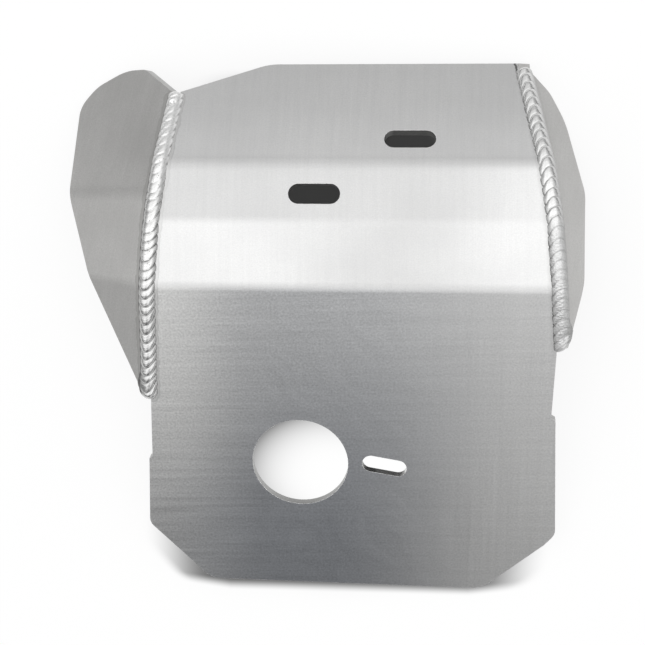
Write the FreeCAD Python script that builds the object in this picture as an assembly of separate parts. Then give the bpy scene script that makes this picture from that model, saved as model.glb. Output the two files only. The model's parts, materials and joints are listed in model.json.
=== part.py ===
import FreeCAD, Part
import itertools
import math
import os
from types import SimpleNamespace

from FreeCAD import Vector

# Motorcycle skid plate: a sheet folded three times, with a bent wing welded along each side.
# It is drawn with the outer face of its belly in the plane Z = 0, +Z out of the convex side,
# +X to the right seen from outside and +Y from the rear edge to the front. Then it is laid
# down on its hollow side. Lengths are millimetres and angles degrees.

# Sheet stock
sheetThickness = 5.0
plateBendRadius = 24.0
wingBendRadius = 24.0

# Flat faces of the main plate, measured along its outside from the rear edge to the front
bellyLength = 197.2
lowerFaceLength = 36.7
middleFaceLength = 32.7
frontFaceLength = 68.2
lowerBend = 15.0
middleBend = 15.0
frontBend = 20.0

# Half widths of the main plate on the left of its centre line
leftTabWidth = 125.8
leftTabTopWidth = 122.8
leftStepWidth = 120.8
leftWeldEndWidth = 118.4
leftLowerBendWidth = 115.0
leftMiddleBendWidth = 112.2
leftFrontBendWidth = 109.2
leftFrontWidth = 102.4

# Half widths of the main plate on the right of its centre line
rightTabWidth = 120.2
rightTabTopWidth = 117.2
rightStepWidth = 114.7
rightWeldEndWidth = 116.2
rightLowerBendWidth = 114.0
rightMiddleBendWidth = 111.6
rightFrontBendWidth = 107.8
rightFrontWidth = 92.6

# Rear tab: the steps in its sides and the cut corners of the rear edge
leftTabTop = 84.6
rightTabTop = 115.4
stepRise = 1.6
stepRadius = 0.4
leftRearPlace = 0.3
rightRearPlace = -1.9
leftCornerCut = 36.0
rightCornerCut = 34.2
leftCornerPlace = 39.6
rightCornerPlace = 38.0
leftUpperCornerRadius = 8.0
rightUpperCornerRadius = 9.0
leftLowerCornerRadius = 12.0
rightLowerCornerRadius = 18.0

# Slanted cut at the left of the front edge
frontCutAlong = 19.6
frontCutAcross = 51.7
frontCutRadius = 30.0

# Drain opening, from the centre line and from the rear edge
drainDiameter = 57.0
drainAcross = -31.7
drainAlong = 84.0

# Slot in the belly, then the two strap slots, placed from the fold behind them
bellySlotLength = 26.6
bellySlotWidth = 10.6
bellySlotAcross = 18.3
bellySlotAlong = 82.8
bellySlotTilt = -10.5
strapSlotLength = 29.2
strapSlotWidth = 11.4
middleSlotAcross = -20.6
middleSlotAlong = 15.9
frontSlotAcross = 32.3
frontSlotAlong = 16.8

# Wings: how far each bends back from the belly, and how each fold line leans to the rear
leftFlare = 33.0
rightFlare = 52.0
leftLowerLean = 7.9
leftUpperLean = 4.0
rightLowerLean = 11.4
rightUpperLean = 2.0

# Wing outlines on the middle face: distance from the seam, distance from the lower fold
# towards the front, corner radius
wingRoot = -20.0
leftWingOutline = [
    (wingRoot, -61.0, 0.0),
    (20.5, -61.0, 2.0),
    (50.0, 1.7, 60.0),
    (68.6, 41.0, 60.0),
    (92.0, 100.5, 12.0),
    (84.0, 113.2, 20.0),
    (64.0, 124.0, 35.0),
    (47.5, 125.0, 12.0),
    (9.0, 108.0, 0.0),
    (wingRoot, 97.0, 0.0),
]
rightWingOutline = [
    (wingRoot, -35.0, 0.0),
    (20.5, -35.0, 1.0),
    (27.8, -6.0, 60.0),
    (35.0, 50.0, 150.0),
    (46.2, 94.0, 30.0),
    (43.2, 111.5, 12.0),
    (32.2, 124.6, 0.0),
    (35.0, 129.0, 0.0),
    (wingRoot, 129.0, 0.0),
]

# Weld beads: radius of a ripple, how deep its centre lies in the joint, how far each ripple
# sinks towards its older end, how much of that goes sideways off the plate, how far the edges
# between ripples lean outwards and sideways, how far the bead starts behind the lower fold,
# its shift outwards, how far it stops short of the seam's end and the length over which it
# turns a corner
weldRadius = 5.6
weldSink = 1.9
rippleDrop = 0.9
rippleNotch = 0.6
rippleLean = 26.0
rippleSkew = 14.0
leftWeldPitch = 5.4
rightWeldPitch = 6.4
leftWeldBelow = 67.9
rightWeldBelow = 34.0
leftWeldOutset = 1.0
rightWeldOutset = 1.2
leftWeldShort = 0.0
rightWeldShort = 3.5
weldSmoothing = 6.0

# Lumps that close the belly end of each bead: shift outwards, shift towards the front, radius
leftWeldEnd = [(0.0, 0.0, 5.3), (2.2, 3.2, 5.0)]
rightWeldEnd = [(-1.6, -1.2, 5.2), (2.6, 2.6, 5.2)]

# Size of the blocks that shape the sheets, and how far the cuts run on past a seam's ends, in
# lengths of its last stretch
reach = 700.0
seamOverrun = 5

# Search for the ground that the plate rests on: points taken on each edge, directions and
# slopes that are tried, how near two points count as one and how deep a point may lie
edgeSamples = 9
groundTurns = 180
groundSlopes = (0.1, 0.3, 0.6)
samePoint = 0.01
groundTolerance = 0.001

left = SimpleNamespace(
    sign=-1,
    tabWidth=leftTabWidth,
    tabTopWidth=leftTabTopWidth,
    stepWidth=leftStepWidth,
    weldEndWidth=leftWeldEndWidth,
    bendWidths=(leftLowerBendWidth, leftMiddleBendWidth, leftFrontBendWidth),
    frontWidth=leftFrontWidth,
    frontPlace=frontFaceLength - frontCutAlong,
    tabTop=leftTabTop,
    rearPlace=leftRearPlace,
    cornerCut=leftCornerCut,
    cornerPlace=leftCornerPlace,
    upperRadius=leftUpperCornerRadius,
    lowerRadius=leftLowerCornerRadius,
    flare=leftFlare,
    leans=(leftLowerLean, leftUpperLean),
    wingOutline=leftWingOutline,
    weldBelow=leftWeldBelow,
    weldPitch=leftWeldPitch,
    weldOutset=leftWeldOutset,
    weldShort=leftWeldShort,
    weldEnd=leftWeldEnd,
    weldTravel=1,
)
right = SimpleNamespace(
    sign=1,
    tabWidth=rightTabWidth,
    tabTopWidth=rightTabTopWidth,
    stepWidth=rightStepWidth,
    weldEndWidth=rightWeldEndWidth,
    bendWidths=(rightLowerBendWidth, rightMiddleBendWidth, rightFrontBendWidth),
    frontWidth=rightFrontWidth,
    frontPlace=frontFaceLength,
    tabTop=rightTabTop,
    rearPlace=rightRearPlace,
    cornerCut=rightCornerCut,
    cornerPlace=rightCornerPlace,
    upperRadius=rightUpperCornerRadius,
    lowerRadius=rightLowerCornerRadius,
    flare=rightFlare,
    leans=(rightLowerLean, rightUpperLean),
    wingOutline=rightWingOutline,
    weldBelow=rightWeldBelow,
    weldPitch=rightWeldPitch,
    weldOutset=rightWeldOutset,
    weldShort=rightWeldShort,
    weldEnd=rightWeldEnd,
    weldTravel=-1,
)

origin = Vector(0, 0, 0)
across = Vector(1, 0, 0)
up = Vector(0, 0, 1)


def plateFaces():
    """Return start point, normal and forward direction of the four flat faces, from the rear."""
    lengths = (bellyLength, lowerFaceLength, middleFaceLength, frontFaceLength)
    bends = (lowerBend, middleBend, frontBend, 0.0)
    faces = []
    start = origin
    angle = 0.0
    for length, bend in zip(lengths, bends):
        normal = Vector(0, math.sin(angle), math.cos(angle))
        forward = Vector(0, math.cos(angle), -math.sin(angle))
        faces.append((start, normal, forward))
        start = start + forward * length
        angle += math.radians(bend)
    return faces


def below(point, normal):
    """Return a large block whose upper face holds point and looks along normal."""
    block = Part.makeBox(reach, reach, reach, Vector(-reach / 2, -reach / 2, -reach))
    block.Placement = FreeCAD.Placement(point, FreeCAD.Rotation(up, normal))
    return block


def roundedBody(faces, depth, radius):
    """Return the solid under a row of faces, set back by depth, with its folds rounded."""
    planes = [(point - normal * depth, normal) for point, normal in faces]
    body = below(*planes[0])
    for plane in planes[1:]:
        body = body.common(below(*plane))
    folds = []
    for edge in body.Edges:
        ends = [vertex.Point for vertex in edge.Vertexes]
        for (p, n), (q, m) in zip(planes, planes[1:]):
            if all(abs((e - p).dot(n)) + abs((e - q).dot(m)) < samePoint for e in ends):
                folds.append(edge)
    return body.makeFillet(radius - depth, folds)


def bentSheet(faces, radius):
    """Return an untrimmed bent sheet and the solid that fills its hollow side."""
    hollow = roundedBody(faces, sheetThickness, radius)
    return roundedBody(faces, 0.0, radius).cut(hollow), hollow


def outline(corners):
    """Return a closed wire in XY through (x, y, radius) corners, rounded where radius is set."""
    points = [Vector(x, y, 0) for x, y, radius in corners]
    edges = []
    ends = []
    for i, here in enumerate(points):
        radius = corners[i][2]
        if radius == 0:
            ends.append((here, here))
            continue
        back = (points[i - 1] - here).normalize()
        ahead = (points[(i + 1) % len(points)] - here).normalize()
        half = back.getAngle(ahead) / 2
        start = here + back * (radius / math.tan(half))
        end = here + ahead * (radius / math.tan(half))
        crown = here + (back + ahead).normalize() * (radius / math.sin(half) - radius)
        edges.append(Part.Arc(start, crown, end).toShape())
        ends.append((start, end))
    for i, (arrive, leave) in enumerate(ends):
        following = ends[(i + 1) % len(ends)][0]
        if leave.distanceToPoint(following) > samePoint:
            edges.append(Part.makeLine(leave, following))
    return Part.Wire(Part.__sortEdges__(edges))


def prism(wire, place, direction, normal):
    """Return a deep prism through a wire of the XY plane, set at place with x along direction."""
    body = Part.Face(wire).extrude(Vector(0, 0, reach))
    body.translate(Vector(0, 0, -reach / 2))
    turn = FreeCAD.Rotation(direction, normal.cross(direction), normal, "ZXY")
    body.Placement = FreeCAD.Placement(place, turn).multiply(body.Placement)
    return body


def slot(length, width):
    """Return the closed wire of a slot with round ends, centred in XY."""
    x = (length - width) / 2
    y = width / 2
    edges = []
    for sign in (1, -1):
        start = Vector(sign * x, -sign * y, 0)
        crown = Vector(sign * (x + y), 0, 0)
        end = Vector(sign * x, sign * y, 0)
        edges.append(Part.Arc(start, crown, end).toShape())
        edges.append(Part.makeLine(end, Vector(-sign * x, sign * y, 0)))
    return Part.Wire(edges)


def seamPoints(side):
    """Return the weld line's end on the belly, its crossing of each fold and its front end."""
    faces = plateFaces()
    points = [Vector(side.sign * side.weldEndWidth, bellyLength - side.weldBelow, 0)]
    for (start, normal, forward), width in zip(faces[1:], side.bendWidths):
        points.append(start + across * (side.sign * width))
    start, normal, forward = faces[3]
    return points + [start + forward * side.frontPlace + across * (side.sign * side.frontWidth)]


def sideOutline(side):
    """Return one side of the plate seen along Z, from the rear edge to past the front."""
    seam = seamPoints(side)
    beyond = seam[4] + (seam[4] - seam[3]) * seamOverrun
    widths = [
        (side.tabWidth - side.cornerCut, side.rearPlace, side.lowerRadius),
        (side.tabWidth, side.cornerPlace, side.upperRadius),
        (side.tabTopWidth, side.tabTop, stepRadius),
        (side.stepWidth, side.tabTop + stepRise, stepRadius),
    ]
    corners = [(side.sign * x, y, radius) for x, y, radius in widths]
    return corners + [(p.x, p.y, 0) for p in seam[:4] + [beyond]]


def frontOutline():
    """Return the outline that ends the front face, as x and distance from the front fold."""
    cutStart = frontFaceLength - frontCutAlong
    slope = frontCutAlong / frontCutAcross
    wide = reach / 2
    return [
        (-wide, -wide, 0),
        (wide, -wide, 0),
        (wide, frontFaceLength, 0),
        (frontCutAcross - left.frontWidth, frontFaceLength, frontCutRadius),
        (-wide, cutStart - (wide - left.frontWidth) * slope, 0),
    ]


def mainPlate():
    """Return the folded plate and the solid that fills its hollow side."""
    faces = plateFaces()
    sheet, hollow = bentSheet([(start, normal) for start, normal, forward in faces],
                              plateBendRadius)
    sides = sideOutline(right) + list(reversed(sideOutline(left)))
    plate = sheet.common(prism(outline(sides), origin, across, up))
    start, normal, forward = faces[3]
    plate = plate.common(prism(outline(frontOutline()), start, across, normal))
    foot = Vector(drainAcross, drainAlong, -reach / 2)
    plate = plate.cut(Part.makeCylinder(drainDiameter / 2, reach, foot))
    tilt = math.radians(bellySlotTilt)
    tilted = Vector(math.cos(tilt), math.sin(tilt), 0)
    place = Vector(bellySlotAcross, bellySlotAlong, 0)
    plate = plate.cut(prism(slot(bellySlotLength, bellySlotWidth), place, tilted, up))
    strapSlots = ((faces[2], middleSlotAcross, middleSlotAlong),
                  (faces[3], frontSlotAcross, frontSlotAlong))
    for (start, normal, forward), sideways, along in strapSlots:
        place = start + across * sideways + forward * along
        plate = plate.cut(prism(slot(strapSlotLength, strapSlotWidth), place, across, normal))
    return largest(plate), hollow


def largest(shape):
    """Return the largest solid of a shape."""
    return max(shape.Solids, key=lambda solid: solid.Volume)


def planeThrough(first, second, third):
    """Return a point and the upward normal of the plane through three points."""
    normal = (second - first).cross(third - first).normalize()
    if normal.z < 0:
        normal = normal * -1
    return first, normal


def outwardFrom(seam, normal, side, lean=0.0):
    """Return the direction in a wing's face that leaves the seam and leans to the rear."""
    outward = seam.cross(normal).normalize()
    if outward.x * side.sign < 0:
        outward = outward * -1
    a = math.radians(lean)
    return outward * math.cos(a) - seam * math.sin(a)


def wingFaces(side):
    """Return the three outer faces of a wing, and its middle face's seam direction."""
    weldEnd, lower, middle, front, end = seamPoints(side)
    upper = (middle + front) * 0.5
    a = math.radians(side.flare)
    flared = Vector(side.sign * math.cos(a), 0, -math.sin(a))
    rearFace = planeThrough(lower, weldEnd, lower + flared)
    seam = (lower - weldEnd).normalize()
    fold = outwardFrom(seam, rearFace[1], side, side.leans[0])
    middleFace = planeThrough(lower, upper, lower + fold)
    seam = (upper - lower).normalize()
    fold = outwardFrom(seam, middleFace[1], side, side.leans[1])
    frontFace = planeThrough(upper, end, upper + fold)
    return [rearFace, middleFace, frontFace], seam


def wing(side):
    """Return a bent wing that butts against the side of the plate."""
    faces, along = wingFaces(side)
    sheet = bentSheet(faces, wingBendRadius)[0]
    place, normal = faces[1]
    outward = outwardFrom(along, normal, side)
    shape = sheet.common(prism(outline(side.wingOutline), place, outward, normal * side.sign))
    seam = seamPoints(side)
    rear = seam[1] + (seam[0] - seam[1]) * seamOverrun
    ahead = seam[3] + (seam[4] - seam[3]) * seamOverrun
    inner = [(p.x, p.y, 0) for p in [rear] + seam[1:4] + [ahead]]
    inner += [(0, ahead.y, 0), (0, rear.y, 0)]
    return largest(shape.cut(prism(outline(inner), origin, across, up)))


def pointAlong(points, distance):
    """Return the point at a distance along a run of points, past its ends if need be."""
    for a, b in zip(points, points[1:]):
        length = a.distanceToPoint(b)
        if distance <= length or b == points[-1]:
            return a + (b - a) * (distance / length)
        distance -= length


def weldFrames(side):
    """Return centre, forward direction and outward direction at the ends of all ripples."""
    points = seamPoints(side)
    lengths = [a.distanceToPoint(b) for a, b in zip(points, points[1:])]
    plateNormals = [normal for start, normal, forward in plateFaces()]
    wingNormals = [normal for start, normal in wingFaces(side)[0]]
    wingNormals.insert(2, (wingNormals[1] + wingNormals[2]).normalize())
    outset = across * (side.sign * side.weldOutset)

    def outwardAt(distance):
        index = sum(1 for i in range(1, 4) if distance > sum(lengths[:i]))
        return (plateNormals[index] + wingNormals[index]).normalize()

    count = round(sum(lengths) / side.weldPitch)
    frames = []
    for i in range(count + 1):
        distance = i * sum(lengths) / count
        before = distance - weldSmoothing
        after = distance + weldSmoothing
        tangent = (pointAlong(points, after) - pointAlong(points, before)).normalize()
        outward = (outwardAt(before) + outwardAt(after)).normalize()
        centre = pointAlong(points, distance) + outset - outward * weldSink
        frames.append((centre, tangent, outward))
    return frames


def rippleEdge(side, tangent, outward):
    """Return the normal of the leaning plane between two ripples."""
    sideways = tangent.cross(outward) * side.sign
    lean = outward * (side.weldTravel * math.tan(math.radians(rippleLean)))
    skew = sideways * (side.weldTravel * math.tan(math.radians(rippleSkew)))
    return (tangent + lean + skew).normalize()


def ripple(side, rear, front):
    """Return one ripple, which sinks from its newer end to its older one."""
    run = front[0] - rear[0]
    lift = (rear[2] + front[2]).normalize() - across * (side.sign * rippleNotch)
    axis = run - lift * (side.weldTravel * rippleDrop)
    middle = (rear[0] + front[0]) * 0.5
    reachOut = axis * (0.5 + weldRadius / run.Length)
    body = Part.makeCylinder(weldRadius, 2 * reachOut.Length, middle - reachOut, axis)
    body = body.common(below(front[0], rippleEdge(side, *front[1:])))
    return body.cut(below(rear[0], rippleEdge(side, *rear[1:])))


def weldBead(side, solids):
    """Return the rippled bead in the corner between the plate and a wing, clear of solids."""
    frames = weldFrames(side)
    ripples = [ripple(side, rear, front) for rear, front in zip(frames, frames[1:])]
    centre, tangent, outward = frames[0]
    lumps = [centre + across * (side.sign * x) + tangent * y for x, y, radius in side.weldEnd]
    radii = [radius for x, y, radius in side.weldEnd]
    ripples += [Part.makeSphere(radius, lump) for radius, lump in zip(radii, lumps)]
    for a, b in zip(lumps, lumps[1:]):
        ripples.append(Part.makeCylinder(min(radii), a.distanceToPoint(b), a, b - a))
    bead = ripples[0].multiFuse(ripples[1:])
    forward = plateFaces()[3][2]
    bead = bead.common(below(seamPoints(side)[4] - forward * side.weldShort, forward))
    for solid in solids:
        bead = bead.cut(solid)
    return largest(bead)


def lowestPoints(shapes):
    """Return the points of the shapes' edges that a tilted ground could touch."""
    points = []
    for shape in shapes:
        for edge in shape.Edges:
            points += edge.discretize(Number=edgeSamples)
    lowest = []
    for i in range(groundTurns):
        angle = 2 * math.pi * i / groundTurns
        for slope in groundSlopes:
            way = Vector(slope * math.cos(angle), slope * math.sin(angle), -1)
            found = max(points, key=way.dot)
            if all(found.distanceToPoint(p) > samePoint for p in lowest):
                lowest.append(found)
    return lowest


def groundNormal(shapes):
    """Return the upward normal of the ground that carries the shapes on three points."""
    volume = sum(shape.Volume for shape in shapes)
    centre = Vector(0, 0, 0)
    for shape in shapes:
        centre += shape.CenterOfMass * (shape.Volume / volume)
    lowest = lowestPoints(shapes)
    for a, b, c in itertools.combinations(lowest, 3):
        normal = (b - a).cross(c - a)
        if normal.Length < samePoint:
            continue
        normal = normal.normalize() * math.copysign(1, normal.z)
        if min((p - a).dot(normal) for p in lowest) < -groundTolerance:
            continue
        turns = [(q - p).cross(centre - p).dot(normal) for p, q in ((a, b), (b, c), (c, a))]
        if min(turns) > 0 or max(turns) < 0:
            return normal
    return up


def skidPlate():
    """Return the pieces by name, laid down on the ground with the box centred over it."""
    plate, hollow = mainPlate()
    leftWing = wing(left)
    rightWing = wing(right)
    pieces = {
        "main_plate": plate,
        "left_wing": leftWing,
        "right_wing": rightWing,
        "left_weld_bead": weldBead(left, (plate, leftWing, hollow)),
        "right_weld_bead": weldBead(right, (plate, rightWing, hollow)),
    }
    turn = FreeCAD.Rotation(groundNormal([plate, leftWing, rightWing]), up)
    box = FreeCAD.BoundBox()
    for shape in pieces.values():
        shape.Placement = FreeCAD.Placement(origin, turn)
        box.add(shape.optimalBoundingBox(False))
    for shape in pieces.values():
        shape.translate(Vector(-box.Center.x, -box.Center.y, -box.ZMin))
    return pieces


def main():
    """Write each piece to its own file."""
    os.makedirs("parts", exist_ok=True)
    for name, shape in skidPlate().items():
        shape.exportStep("parts/" + name + ".step")
        print(name, shape.isValid(), round(shape.Volume), shape.Placement)


main()
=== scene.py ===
import bmesh
import bpy
import json
import math
from mathutils import Matrix, Vector


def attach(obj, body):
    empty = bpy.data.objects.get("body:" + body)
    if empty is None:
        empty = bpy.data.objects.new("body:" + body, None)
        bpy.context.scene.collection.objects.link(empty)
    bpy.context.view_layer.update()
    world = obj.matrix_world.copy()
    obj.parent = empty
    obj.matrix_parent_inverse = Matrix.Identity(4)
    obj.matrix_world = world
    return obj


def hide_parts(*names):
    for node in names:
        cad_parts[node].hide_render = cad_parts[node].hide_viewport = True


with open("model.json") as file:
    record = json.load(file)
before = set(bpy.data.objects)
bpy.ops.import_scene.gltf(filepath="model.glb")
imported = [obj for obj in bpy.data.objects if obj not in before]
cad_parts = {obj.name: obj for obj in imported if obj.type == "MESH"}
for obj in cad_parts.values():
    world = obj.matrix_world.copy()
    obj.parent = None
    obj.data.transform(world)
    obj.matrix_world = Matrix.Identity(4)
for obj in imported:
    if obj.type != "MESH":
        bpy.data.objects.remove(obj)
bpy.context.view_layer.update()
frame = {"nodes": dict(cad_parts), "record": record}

mm = 0.001

# The sheet's own frame: X to the right, Y from the rear edge to the front, Z out of the belly.
# All sizes in the dictionaries are millimetres and degrees in it, unless a note says otherwise.
plate = {
    "drainPlace": (-31.7, 84.0, -2.5),
    "faceLengths": (197.2, 36.7, 32.7, 68.2),
    "bends": (15.0, 15.0, 20.0),
    # rounding of the openings' edges, the outline's share of it, and where the openings lie
    "edgeRound": 0.62, "outlineShare": 0.62, "openHalfWidth": 85.0, "openRear": 20.0, "openFront": 295.0,
    # least angle of an edge that is rounded, largest one inside a flat face
    "sharpEdge": 40.0, "flatEdge": 0.5,
    # the long cut at the rear right corner: middle and radius of its rounding, angles of its facets
    "cutMiddle": (69.4, 18.1), "cutRadius": 20.0, "cutAngles": (-48.7, -57.0, -65.0, -74.0, -82.0),
}


# the sheet's frame, from the openings that the record names
def sheetToFrame():
    mounts = {m["name"]: m for m in frame["record"]["mounts"]}
    drain = mounts["drain_opening"]
    up = Vector(drain["axis"]).normalized()
    across = Vector(mounts["front_slot"]["axis"]).cross(up).normalized()
    turn = Matrix((across, up.cross(across), up)).transposed()
    start = Vector(drain["pos_m"]) - turn @ (Vector(plate["drainPlace"]) * mm)
    return Matrix.Translation(start) @ turn.to_4x4()


sheetFrame = sheetToFrame()


# start, normal and forward direction of each flat face
def plateFaces():
    start = Vector((0, 0, 0))
    angle = 0.0
    faces = []
    for length, bend in zip(plate["faceLengths"], plate["bends"] + (0.0,)):
        normal = Vector((0, math.sin(angle), math.cos(angle)))
        forward = Vector((0, math.cos(angle), -math.sin(angle)))
        faces.append((start, normal, forward))
        start = start + forward * length
        angle += math.radians(bend)
    return faces


# a node's output, with which sums can be written out
class nodeValue:
    def __init__(self, socket):
        self.socket = socket
        self.tree = socket.id_data

    def __add__(self, other):
        return calc("ADD", self, other)

    def __sub__(self, other):
        return calc("SUBTRACT", self, other)

    def __rsub__(self, other):
        return calc("SUBTRACT", other, self)

    def __mul__(self, other):
        return calc("MULTIPLY", self, other)

    def __truediv__(self, other):
        return calc("DIVIDE", self, other)

    def __rtruediv__(self, other):
        return calc("DIVIDE", other, self)

    def __pow__(self, other):
        return calc("POWER", self, other)

    def __abs__(self):
        return calc("ABSOLUTE", self)

    __radd__ = __add__
    __rmul__ = __mul__


# small helpers for node trees
def setInputs(node, inputs):
    for name, value in inputs.items():
        if isinstance(value, nodeValue):
            node.id_data.links.new(value.socket, node.inputs[name])
        else:
            node.inputs[name].default_value = value


def addNode(tree, kind, inputs=None, **settings):
    node = tree.nodes.new(kind)
    for name, value in settings.items():
        setattr(node, name, value)
    setInputs(node, inputs or {})
    return node


def named(node):
    return {output.name: nodeValue(output) for output in node.outputs}


def made(tree, kind, inputs=None, output=0, **settings):
    return nodeValue(addNode(tree, kind, inputs, **settings).outputs[output])


def treeOf(values):
    return next(value.tree for value in values if isinstance(value, nodeValue))


def calc(operation, *values):
    return made(treeOf(values), "ShaderNodeMath", dict(enumerate(values)), operation=operation)


def largest(*values):
    return calc("MAXIMUM", *values)


def clamped(value):
    value.socket.node.use_clamp = True
    return value


def vectorCalc(operation, *values):
    return made(treeOf(values), "ShaderNodeVectorMath", dict(enumerate(values)), operation=operation)


def scaled(vector, factor):
    return made(vector.tree, "ShaderNodeVectorMath", {0: vector, "Scale": factor}, operation="SCALE")


def parts(vector):
    return named(addNode(vector.tree, "ShaderNodeSeparateXYZ", {"Vector": vector}))


def joined(x, y, z):
    return made(treeOf((x, y, z)), "ShaderNodeCombineXYZ", {"X": x, "Y": y, "Z": z})


def noise(vector, scale, detail, roughness=0.5):
    return made(vector.tree, "ShaderNodeTexNoise", {"Vector": vector, "Scale": scale, "Detail": detail,
                                                    "Roughness": roughness})


def ramp(value, low, high, toLow=0.0, toHigh=1.0, kind="SMOOTHSTEP"):
    inputs = {"Value": value, "From Min": low, "From Max": high, "To Min": toLow, "To Max": toHigh}
    return made(value.tree, "ShaderNodeMapRange", inputs, interpolation_type=kind)


# one between two pairs of bounds, and nothing outside them
def between(value, rise, fall):
    return ramp(value, *rise) * ramp(value, *fall)


def mix(factor, first, second):
    return made(factor.tree, "ShaderNodeMix", {0: factor, 2: first, 3: second})


def mixColour(factor, first, second):
    return made(factor.tree, "ShaderNodeMix", {0: factor, 6: first, 7: second}, 2, data_type="RGBA")


# a value times its rise, from a start
def sloped(value, rise, start):
    return value * rise + start


# two values, each times its share
def weighed(shares, first, second):
    return first * shares[0] + second * shares[1]


# the first two points are the curve's ends
def curve(value, points):
    node = addNode(value.tree, "ShaderNodeFloatCurve", {"Value": value})
    line = node.mapping.curves[0]
    node.mapping.use_clip = False
    for x, y in points[2:]:
        line.points.new(x, y)
    for point, (x, y) in zip(line.points, sorted(points)):
        point.location = (x, y)
        point.handle_type = "AUTO"
    node.mapping.update()
    return nodeValue(node.outputs[0])


# a number is the default of a float socket, a word the kind of another socket
def newGroup(name, kind, inputs, outputs):
    group = bpy.data.node_groups.new(name, kind)
    for way, sockets in (("INPUT", inputs), ("OUTPUT", outputs)):
        for label, value in sockets.items():
            word = value if isinstance(value, str) else "Float"
            socket = group.interface.new_socket(label, in_out=way, socket_type="NodeSocket" + word)
            if word != value:
                socket.default_value = value
    return group, named(group.nodes.new("NodeGroupInput")), group.nodes.new("NodeGroupOutput")


def useGroup(group, inputs):
    return named(addNode(treeOf(inputs.values()), "ShaderNodeGroup", inputs, node_tree=group))


def newObject(name, data):
    holder = bpy.data.objects.new(name, data)
    bpy.context.scene.collection.objects.link(holder)
    return holder


# effects that several finishes share: fine scratches along one direction
def brushingGroup():
    group, given, result = newGroup("brushing", "ShaderNodeTree",
        {"Place": "Vector", "Turn": 0.0, "Width": 0.4, "Length": 40.0}, {"Scratches": "Float"})
    turned = made(group, "ShaderNodeVectorRotate", {"Vector": given["Place"], "Angle": given["Turn"]},
                  rotation_type="Z_AXIS")
    stretched = vectorCalc("MULTIPLY", turned, joined(1.0 / given["Width"], 1.0 / given["Length"], 0.02))
    fine = noise(stretched, 1.0, 3.0, 0.6)
    broad = noise(vectorCalc("MULTIPLY", stretched, (0.16, 0.5, 1.0)), 1.0, 1.0)
    setInputs(result, {"Scratches": ramp(broad * 0.45 + fine * 0.55, 0.25, 0.75, kind="LINEAR")})
    return group


# the fine pitted grain of rolled sheet
def grainGroup():
    group, given, result = newGroup("sheetGrain", "ShaderNodeTree", {"Place": "Vector", "Size": 0.85},
                                    {"Grain": "Float"})
    pitted = noise(scaled(given["Place"], 1.0 / given["Size"]), 1.0, 2.0, 0.6)
    setInputs(result, {"Grain": ramp(pitted, 0.22, 0.78, kind="LINEAR")})
    return group


# marks beside the welds: how far the strip and its rim waver, the toe, and the crack at the right bead
seamMarks = {
    "wholeLength": 400.0, "stripWaver": 3.4, "stripSize": 0.2, "leftSoft": 0.5, "rimWidth": 0.55,
    "toeWaver": 1.6, "toeSize": 0.8, "toeEdge": (0.45, -0.15), "pastFront": 4.0, "frontCut": 1.5,
    "crackPlace": 5.1, "crackWaver": 1.8, "crackEdge": (0.95, 0.35), "crackStart": (15.0, 9.0),
    # how far the lines run on past the seams' ends, as a share of the last stretch
    "overrun": 0.3, "leftSide": (0.0, -20.0),
}


# how near a point of a sheet lies to the welds: the tinted strip, its rim line and the dark toe
def heatGroup():
    marks = seamMarks
    whole = marks["wholeLength"]
    group, given, result = newGroup("weldHeat", "ShaderNodeTree",
        {"Place": "Vector", "Toe": 4.6, "Reach": 6.8, "Soft": 1.0, "Right": 1.0},
        {"Heat": "Float", "Rim": "Float", "Toe": "Float", "Crack": "Float"})
    place = parts(given["Place"])
    nearest = None
    for side in ("left", "right"):
        seam = beadLine(side)
        first = seam[0] + (seam[0] - seam[1]) * marks["overrun"]
        last = seam[4] + (seam[4] - seam[3]) * marks["overrun"]
        points = [(p.y / whole, abs(p.x) / whole) for p in [first] + seam[1:4] + [last]]
        line = curve(place["Y"] / whole, points) * whole
        beside = line - place["X"] * float(seams[side]["sign"])
        ahead = place["Y"] - (seam[4].y - seams[side]["short"] - marks["pastFront"])
        beyond = largest(largest(seam[0].y - place["Y"], 0.0), ahead * marks["frontCut"])
        away = calc("SQRT", beside * beside + beyond * beyond)
        nearest = away if nearest is None else calc("MINIMUM", nearest, away)
    waver = noise(given["Place"], marks["stripSize"], 3.0)
    past = (waver - 0.5) * marks["stripWaver"] + nearest - given["Reach"]
    atLeft = ramp(place["X"], *marks["leftSide"])
    soft = mix(atLeft, given["Soft"], marks["leftSoft"])
    share = atLeft * (1.0 - given["Right"]) + given["Right"]
    specks = noise(given["Place"], marks["toeSize"], 2.0)
    toe = (specks - 0.5) * marks["toeWaver"] + nearest - given["Toe"]
    # beside is measured from the right bead here, the last of the two
    crack = (specks - 0.5) * marks["crackWaver"] + beside - marks["crackPlace"]
    front = seamLine("right")[4].y
    start, full = marks["crackStart"]
    setInputs(result, {
        "Heat": ramp(past, soft, soft * -1.0) * share,
        "Rim": ramp(abs(past), marks["rimWidth"], 0.0) * atLeft,
        "Toe": ramp(toe, *marks["toeEdge"]) * share,
        "Crack": ramp(abs(crack), *marks["crackEdge"]) * ramp(place["Y"], front - start, front - full),
    })
    return group


# weld beads: where they run and how their ripples lie
seams = {
    "left": {
        "sign": -1, "widths": (118.4, 115.0, 112.2, 109.2, 102.4), "below": 67.9, "front": 48.6,
        "flare": 33.0, "leans": (7.9, 4.0), "outsets": (1.3, 1.3, 0.9, 0.0, 1.5),
        "sink": 1.9, "short": 0.3,
    },
    "right": {
        "sign": 1, "widths": (116.2, 114.0, 111.6, 107.8, 92.6), "below": 34.0, "front": 68.2,
        "flare": 52.0, "leans": (11.4, 2.0), "outsets": (3.2, 2.9, 2.0, 1.0, 3.0),
        "sink": 1.9, "short": 3.8,
    },
}


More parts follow.
